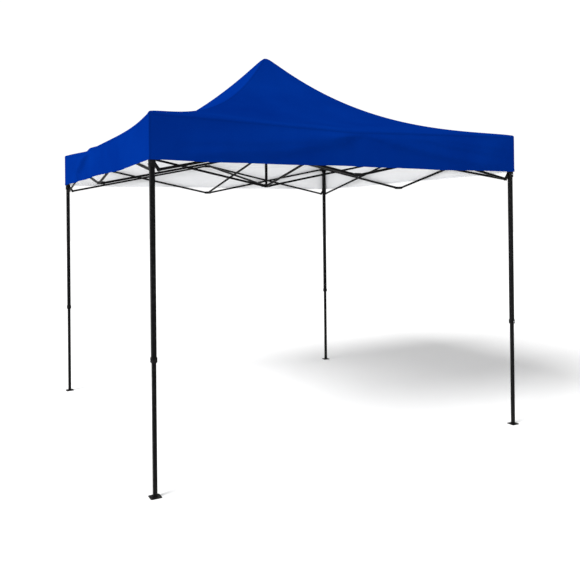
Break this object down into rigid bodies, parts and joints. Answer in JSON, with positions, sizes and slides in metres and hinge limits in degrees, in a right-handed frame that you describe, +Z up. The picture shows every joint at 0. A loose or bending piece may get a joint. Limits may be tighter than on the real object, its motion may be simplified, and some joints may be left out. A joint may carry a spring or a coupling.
{
  "type": "pop up gazebo",
  "caption": "Square pop up gazebo: folding black steel scissor frame on telescopic legs, with a peaked blue fabric roof and straight valance.",
  "frame": {"origin": "middle of the ground area, level with the undersides of the foot plates", "axes": "+Z up along the mast; -Y towards the front side, +X towards the right side seen from the front"},
  "size_m": [3.05, 3.05, 3.147],
  "materials": {
    "coated_steel": "satin black powder coat",
    "black_plastic": "moulded, fine grain",
    "button_steel": "plated",
    "blue_fabric": "coated woven polyester"
  },
  "bodies": {
    "frame_top": {"hub_upper": "black_plastic", "canopy": "blue_fabric"},
    "bar_inner_down_right": {"bar_inner_down_right": "coated_steel"},
    "bar_inner_up_right": {"bar_inner_up_right": "coated_steel"},
    "joint_high_right": {"joint_high_right": "black_plastic"},
    "joint_low_right": {"joint_low_right": "black_plastic"},
    "bar_slider_1_right": {"bar_slider_1_right": "coated_steel"},
    "bar_slider_2_right": {"bar_slider_2_right": "coated_steel"},
    "bar_top_1_right": {"bar_top_1_right": "coated_steel"},
    "bar_top_2_right": {"bar_top_2_right": "coated_steel"},
    "leg_back_right": {"leg_upper_back_right": "coated_steel", "leg_cap_back_right": "black_plastic"},
    "leg_lower_back_right": {"leg_lower_back_right": "coated_steel"},
    "slider_back_right": {"slider_back_right": "black_plastic"},
    "slider_button_back_right": {"slider_button_back_right": "button_steel"},
    "leg_button_back_right": {"leg_button_back_right": "button_steel"},
    "bar_inner_down_back": {"bar_inner_down_back": "coated_steel"},
    "bar_inner_up_back": {"bar_inner_up_back": "coated_steel"},
    "joint_high_back": {"joint_high_back": "black_plastic"},
    "joint_low_back": {"joint_low_back": "black_plastic"},
    "bar_slider_1_back": {"bar_slider_1_back": "coated_steel"},
    "bar_slider_2_back": {"bar_slider_2_back": "coated_steel"},
    "bar_top_1_back": {"bar_top_1_back": "coated_steel"},
    "bar_top_2_back": {"bar_top_2_back": "coated_steel"},
    "leg_back_left": {"leg_upper_back_left": "coated_steel", "leg_cap_back_left": "black_plastic"},
    "leg_lower_back_left": {"leg_lower_back_left": "coated_steel"},
    "slider_back_left": {"slider_back_left": "black_plastic"},
    "slider_button_back_left": {"slider_button_back_left": "button_steel"},
    "leg_button_back_left": {"leg_button_back_left": "button_steel"},
    "bar_inner_down_left": {"bar_inner_down_left": "coated_steel"},
    "bar_inner_up_left": {"bar_inner_up_left": "coated_steel"},
    "joint_high_left": {"joint_high_left": "black_plastic"},
    "joint_low_left": {"joint_low_left": "black_plastic"},
    "bar_slider_1_left": {"bar_slider_1_left": "coated_steel"},
    "bar_slider_2_left": {"bar_slider_2_left": "coated_steel"},
    "bar_top_1_left": {"bar_top_1_left": "coated_steel"},
    "bar_top_2_left": {"bar_top_2_left": "coated_steel"},
    "leg_front_left": {"leg_upper_front_left": "coated_steel", "leg_cap_front_left": "black_plastic"},
    "leg_lower_front_left": {"leg_lower_front_left": "coated_steel"},
    "slider_front_left": {"slider_front_left": "black_plastic"},
    "slider_button_front_left": {"slider_button_front_left": "button_steel"},
    "leg_button_front_left": {"leg_button_front_left": "button_steel"},
    "bar_inner_down_front": {"bar_inner_down_front": "coated_steel"},
    "bar_inner_up_front": {"bar_inner_up_front": "coated_steel"},
    "joint_high_front": {"joint_high_front": "black_plastic"},
    "joint_low_front": {"joint_low_front": "black_plastic"},
    "bar_slider_1_front": {"bar_slider_1_front": "coated_steel"},
    "bar_slider_2_front": {"bar_slider_2_front": "coated_steel"},
    "bar_top_1_front": {"bar_top_1_front": "coated_steel"},
    "bar_top_2_front": {"bar_top_2_front": "coated_steel"},
    "leg_front_right": {"leg_upper_front_right": "coated_steel", "leg_cap_front_right": "black_plastic"},
    "leg_lower_front_right": {"leg_lower_front_right": "coated_steel"},
    "slider_front_right": {"slider_front_right": "black_plastic"},
    "slider_button_front_right": {"slider_button_front_right": "button_steel"},
    "leg_button_front_right": {"leg_button_front_right": "button_steel"},
    "hub_lower": {"hub_lower": "black_plastic"},
    "mast": {"mast": "coated_steel"}
  },
  "joints": [
    {"name": "fold", "type": "hinge", "parent": "frame_top", "child": "bar_inner_down_right", "pos_m": [0.036, 0, 2.285], "axis": [0, 1, 0], "range_deg": [0, 74.9], "deforming": ["canopy"]},
    {"name": "bar_inner_up_right_pivot", "type": "hinge", "parent": "bar_inner_down_right", "child": "bar_inner_up_right", "pos_m": [0.746, 0, 2.14], "axis": [0, 1, 0], "range_deg": [-149.8, 0]},
    {"name": "joint_high_right_pivot", "type": "hinge", "parent": "bar_inner_up_right", "child": "joint_high_right", "pos_m": [1.456, 0, 2.285], "axis": [0, 1, 0], "range_deg": [0, 74.9]},
    {"name": "joint_low_right_pivot", "type": "hinge", "parent": "bar_inner_down_right", "child": "joint_low_right", "pos_m": [1.456, 0, 1.995], "axis": [0, 1, 0], "range_deg": [-74.9, 0]},
    {"name": "bar_slider_1_right_pivot", "type": "hinge", "parent": "joint_high_right", "child": "bar_slider_1_right", "pos_m": [1.4835, 0.025, 2.285], "axis": [1, 0, 0], "range_deg": [-74.9, 0]},
    {"name": "bar_slider_2_right_pivot", "type": "hinge", "parent": "joint_high_right", "child": "bar_slider_2_right", "pos_m": [1.4835, -0.025, 2.285], "axis": [1, 0, 0], "range_deg": [0, 74.9]},
    {"name": "bar_top_1_right_pivot", "type": "hinge", "parent": "bar_slider_1_right", "child": "bar_top_1_right", "pos_m": [1.49, 0.735, 2.14], "axis": [1, 0, 0], "range_deg": [0, 149.8]},
    {"name": "bar_top_2_right_pivot", "type": "hinge", "parent": "bar_slider_2_right", "child": "bar_top_2_right", "pos_m": [1.49, -0.735, 2.14], "axis": [1, 0, 0], "range_deg": [-149.8, 0]},
    {"name": "leg_back_right_pivot", "type": "hinge", "parent": "bar_top_1_right", "child": "leg_back_right", "pos_m": [1.4965, 1.445, 2.285], "axis": [1, 0, 0], "range_deg": [-74.9, 0]},
    {"name": "slider_back_right_pivot", "type": "hinge", "parent": "bar_slider_1_right", "child": "slider_back_right", "pos_m": [1.4835, 1.445, 1.995], "axis": [1, 0, 0], "range_deg": [0, 74.9]},
    {"name": "bar_inner_down_back_pivot", "type": "hinge", "parent": "frame_top", "child": "bar_inner_down_back", "pos_m": [0, 0.036, 2.285], "axis": [-1, 0, 0], "range_deg": [0, 74.9]},
    {"name": "bar_inner_up_back_pivot", "type": "hinge", "parent": "bar_inner_down_back", "child": "bar_inner_up_back", "pos_m": [0, 0.746, 2.14], "axis": [-1, 0, 0], "range_deg": [-149.8, 0]},
    {"name": "joint_high_back_pivot", "type": "hinge", "parent": "bar_inner_up_back", "child": "joint_high_back", "pos_m": [0, 1.456, 2.285], "axis": [-1, 0, 0], "range_deg": [0, 74.9]},
    {"name": "joint_low_back_pivot", "type": "hinge", "parent": "bar_inner_down_back", "child": "joint_low_back", "pos_m": [0, 1.456, 1.995], "axis": [-1, 0, 0], "range_deg": [-74.9, 0]},
    {"name": "bar_slider_1_back_pivot", "type": "hinge", "parent": "joint_high_back", "child": "bar_slider_1_back", "pos_m": [-0.025, 1.4835, 2.285], "axis": [0, 1, 0], "range_deg": [-74.9, 0]},
    {"name": "bar_slider_2_back_pivot", "type": "hinge", "parent": "joint_high_back", "child": "bar_slider_2_back", "pos_m": [0.025, 1.4835, 2.285], "axis": [0, 1, 0], "range_deg": [0, 74.9]},
    {"name": "bar_top_1_back_pivot", "type": "hinge", "parent": "bar_slider_1_back", "child": "bar_top_1_back", "pos_m": [-0.735, 1.49, 2.14], "axis": [0, 1, 0], "range_deg": [0, 149.8]},
    {"name": "bar_top_2_back_pivot", "type": "hinge", "parent": "bar_slider_2_back", "child": "bar_top_2_back", "pos_m": [0.735, 1.49, 2.14], "axis": [0, 1, 0], "range_deg": [-149.8, 0]},
    {"name": "leg_back_left_pivot", "type": "hinge", "parent": "bar_top_1_back", "child": "leg_back_left", "pos_m": [-1.445, 1.4965, 2.285], "axis": [0, 1, 0], "range_deg": [-74.9, 0]},
    {"name": "slider_back_left_pivot", "type": "hinge", "parent": "bar_slider_1_back", "child": "slider_back_left", "pos_m": [-1.445, 1.4835, 1.995], "axis": [0, 1, 0], "range_deg": [0, 74.9]},
    {"name": "bar_inner_down_left_pivot", "type": "hinge", "parent": "frame_top", "child": "bar_inner_down_left", "pos_m": [-0.036, 0, 2.285], "axis": [0, -1, 0], "range_deg": [0, 74.9]},
    {"name": "bar_inner_up_left_pivot", "type": "hinge", "parent": "bar_inner_down_left", "child": "bar_inner_up_left", "pos_m": [-0.746, 0, 2.14], "axis": [0, -1, 0], "range_deg": [-149.8, 0]},
    {"name": "joint_high_left_pivot", "type": "hinge", "parent": "bar_inner_up_left", "child": "joint_high_left", "pos_m": [-1.456, 0, 2.285], "axis": [0, -1, 0], "range_deg": [0, 74.9]},
    {"name": "joint_low_left_pivot", "type": "hinge", "parent": "bar_inner_down_left", "child": "joint_low_left", "pos_m": [-1.456, 0, 1.995], "axis": [0, -1, 0], "range_deg": [-74.9, 0]},
    {"name": "bar_slider_1_left_pivot", "type": "hinge", "parent": "joint_high_left", "child": "bar_slider_1_left", "pos_m": [-1.4835, -0.025, 2.285], "axis": [-1, 0, 0], "range_deg": [-74.9, 0]},
    {"name": "bar_slider_2_left_pivot", "type": "hinge", "parent": "joint_high_left", "child": "bar_slider_2_left", "pos_m": [-1.4835, 0.025, 2.285], "axis": [-1, 0, 0], "range_deg": [0, 74.9]},
    {"name": "bar_top_1_left_pivot", "type": "hinge", "parent": "bar_slider_1_left", "child": "bar_top_1_left", "pos_m": [-1.49, -0.735, 2.14], "axis": [-1, 0, 0], "range_deg": [0, 149.8]},
    {"name": "bar_top_2_left_pivot", "type": "hinge", "parent": "bar_slider_2_left", "child": "bar_top_2_left", "pos_m": [-1.49, 0.735, 2.14], "axis": [-1, 0, 0], "range_deg": [-149.8, 0]},
    {"name": "leg_front_left_pivot", "type": "hinge", "parent": "bar_top_1_left", "child": "leg_front_left", "pos_m": [-1.4965, -1.445, 2.285], "axis": [-1, 0, 0], "range_deg": [-74.9, 0]},
    {"name": "slider_front_left_pivot", "type": "hinge", "parent": "bar_slider_1_left", "child": "slider_front_left", "pos_m": [-1.4835, -1.445, 1.995], "axis": [-1, 0, 0], "range_deg": [0, 74.9]},
    {"name": "bar_inner_down_front_pivot", "type": "hinge", "parent": "frame_top", "child": "bar_inner_down_front", "pos_m": [0, -0.036, 2.285], "axis": [1, 0, 0], "range_deg": [0, 74.9]},
    {"name": "bar_inner_up_front_pivot", "type": "hinge", "parent": "bar_inner_down_front", "child": "bar_inner_up_front", "pos_m": [0, -0.746, 2.14], "axis": [1, 0, 0], "range_deg": [-149.8, 0]},
    {"name": "joint_high_front_pivot", "type": "hinge", "parent": "bar_inner_up_front", "child": "joint_high_front", "pos_m": [0, -1.456, 2.285], "axis": [1, 0, 0], "range_deg": [0, 74.9]},
    {"name": "joint_low_front_pivot", "type": "hinge", "parent": "bar_inner_down_front", "child": "joint_low_front", "pos_m": [0, -1.456, 1.995], "axis": [1, 0, 0], "range_deg": [-74.9, 0]},
    {"name": "bar_slider_1_front_pivot", "type": "hinge", "parent": "joint_high_front", "child": "bar_slider_1_front", "pos_m": [0.025, -1.4835, 2.285], "axis": [0, -1, 0], "range_deg": [-74.9, 0]},
    {"name": "bar_slider_2_front_pivot", "type": "hinge", "parent": "joint_high_front", "child": "bar_slider_2_front", "pos_m": [-0.025, -1.4835, 2.285], "axis": [0, -1, 0], "range_deg": [0, 74.9]},
    {"name": "bar_top_1_front_pivot", "type": "hinge", "parent": "bar_slider_1_front", "child": "bar_top_1_front", "pos_m": [0.735, -1.49, 2.14], "axis": [0, -1, 0], "range_deg": [0, 149.8]},
    {"name": "bar_top_2_front_pivot", "type": "hinge", "parent": "bar_slider_2_front", "child": "bar_top_2_front", "pos_m": [-0.735, -1.49, 2.14], "axis": [0, -1, 0], "range_deg": [-149.8, 0]},
    {"name": "leg_front_right_pivot", "type": "hinge", "parent": "bar_top_1_front", "child": "leg_front_right", "pos_m": [1.445, -1.4965, 2.285], "axis": [0, -1, 0], "range_deg": [-74.9, 0]},
    {"name": "slider_front_right_pivot", "type": "hinge", "parent": "bar_slider_1_front", "child": "slider_front_right", "pos_m": [1.445, -1.4835, 1.995], "axis": [0, -1, 0], "range_deg": [0, 74.9]},
    {"name": "hub_lower_pivot", "type": "hinge", "parent": "bar_inner_up_right", "child": "hub_lower", "pos_m": [0.036, 0, 1.995], "axis": [0, 1, 0], "range_deg": [0, 74.9]},
    {"name": "mast_slide", "type": "slide", "parent": "frame_top", "child": "mast", "axis": [0, 0, -1], "range_m": [0, 0.7085]},
    {"name": "leg_length_back_right", "type": "slide", "parent": "leg_back_right", "child": "leg_lower_back_right", "axis": [0, 0, 1], "range_m": [0, 0.78]},
    {"name": "leg_button_push_back_right", "type": "slide", "parent": "leg_back_right", "child": "leg_button_back_right", "axis": [-1, 0, 0], "range_m": [0, 0.003], "stiffness_N_per_m": 400},
    {"name": "slider_button_push_back_right", "type": "slide", "parent": "slider_back_right", "child": "slider_button_back_right", "axis": [-1, 0, 0], "range_m": [0, 0.0024], "stiffness_N_per_m": 400},
    {"name": "leg_length_back_left", "type": "slide", "parent": "leg_back_left", "child": "leg_lower_back_left", "axis": [0, 0, 1], "range_m": [0, 0.78]},
    {"name": "leg_button_push_back_left", "type": "slide", "parent": "leg_back_left", "child": "leg_button_back_left", "axis": [0, -1, 0], "range_m": [0, 0.003], "stiffness_N_per_m": 400},
    {"name": "slider_button_push_back_left", "type": "slide", "parent": "slider_back_left", "child": "slider_button_back_left", "axis": [0, -1, 0], "range_m": [0, 0.0024], "stiffness_N_per_m": 400},
    {"name": "leg_length_front_left", "type": "slide", "parent": "leg_front_left", "child": "leg_lower_front_left", "axis": [0, 0, 1], "range_m": [0, 0.78]},
    {"name": "leg_button_push_front_left", "type": "slide", "parent": "leg_front_left", "child": "leg_button_front_left", "axis": [1, 0, 0], "range_m": [0, 0.003], "stiffness_N_per_m": 400},
    {"name": "slider_button_push_front_left", "type": "slide", "parent": "slider_front_left", "child": "slider_button_front_left", "axis": [1, 0, 0], "range_m": [0, 0.0024], "stiffness_N_per_m": 400},
    {"name": "leg_length_front_right", "type": "slide", "parent": "leg_front_right", "child": "leg_lower_front_right", "axis": [0, 0, 1], "range_m": [0, 0.78]},
    {"name": "leg_button_push_front_right", "type": "slide", "parent": "leg_front_right", "child": "leg_button_front_right", "axis": [0, 1, 0], "range_m": [0, 0.003], "stiffness_N_per_m": 400},
    {"name": "slider_button_push_front_right", "type": "slide", "parent": "slider_front_right", "child": "slider_button_front_right", "axis": [0, 1, 0], "range_m": [0, 0.0024], "stiffness_N_per_m": 400}
  ],
  "couplings": [
    {"joint": "bar_inner_up_right_pivot", "follows": "fold", "ratio": -2},
    {"joint": "joint_high_right_pivot", "follows": "fold", "ratio": 1},
    {"joint": "joint_low_right_pivot", "follows": "fold", "ratio": -1},
    {"joint": "bar_slider_1_right_pivot", "follows": "fold", "ratio": -1},
    {"joint": "bar_slider_2_right_pivot", "follows": "fold", "ratio": 1},
    {"joint": "bar_top_1_right_pivot", "follows": "fold", "ratio": 2},
    {"joint": "bar_top_2_right_pivot", "follows": "fold", "ratio": -2},
    {"joint": "leg_back_right_pivot", "follows": "fold", "ratio": -1},
    {"joint": "slider_back_right_pivot", "follows": "fold", "ratio": 1},
    {"joint": "bar_inner_down_back_pivot", "follows": "fold", "ratio": 1},
    {"joint": "bar_inner_up_back_pivot", "follows": "fold", "ratio": -2},
    {"joint": "joint_high_back_pivot", "follows": "fold", "ratio": 1},
    {"joint": "joint_low_back_pivot", "follows": "fold", "ratio": -1},
    {"joint": "bar_slider_1_back_pivot", "follows": "fold", "ratio": -1},
    {"joint": "bar_slider_2_back_pivot", "follows": "fold", "ratio": 1},
    {"joint": "bar_top_1_back_pivot", "follows": "fold", "ratio": 2},
    {"joint": "bar_top_2_back_pivot", "follows": "fold", "ratio": -2},
    {"joint": "leg_back_left_pivot", "follows": "fold", "ratio": -1},
    {"joint": "slider_back_left_pivot", "follows": "fold", "ratio": 1},
    {"joint": "bar_inner_down_left_pivot", "follows": "fold", "ratio": 1},
    {"joint": "bar_inner_up_left_pivot", "follows": "fold", "ratio": -2},
    {"joint": "joint_high_left_pivot", "follows": "fold", "ratio": 1},
    {"joint": "joint_low_left_pivot", "follows": "fold", "ratio": -1},
    {"joint": "bar_slider_1_left_pivot", "follows": "fold", "ratio": -1},
    {"joint": "bar_slider_2_left_pivot", "follows": "fold", "ratio": 1},
    {"joint": "bar_top_1_left_pivot", "follows": "fold", "ratio": 2},
    {"joint": "bar_top_2_left_pivot", "follows": "fold", "ratio": -2},
    {"joint": "leg_front_left_pivot", "follows": "fold", "ratio": -1},
    {"joint": "slider_front_left_pivot", "follows": "fold", "ratio": 1},
    {"joint": "bar_inner_down_front_pivot", "follows": "fold", "ratio": 1},
    {"joint": "bar_inner_up_front_pivot", "follows": "fold", "ratio": -2},
    {"joint": "joint_high_front_pivot", "follows": "fold", "ratio": 1},
    {"joint": "joint_low_front_pivot", "follows": "fold", "ratio": -1},
    {"joint": "bar_slider_1_front_pivot", "follows": "fold", "ratio": -1},
    {"joint": "bar_slider_2_front_pivot", "follows": "fold", "ratio": 1},
    {"joint": "bar_top_1_front_pivot", "follows": "fold", "ratio": 2},
    {"joint": "bar_top_2_front_pivot", "follows": "fold", "ratio": -2},
    {"joint": "leg_front_right_pivot", "follows": "fold", "ratio": -1},
    {"joint": "slider_front_right_pivot", "follows": "fold", "ratio": 1},
    {"joint": "hub_lower_pivot", "follows": "fold", "ratio": 1},
    {"joint": "mast_slide", "follows": "fold", "m_per_rad": 0.54159}
  ]
}
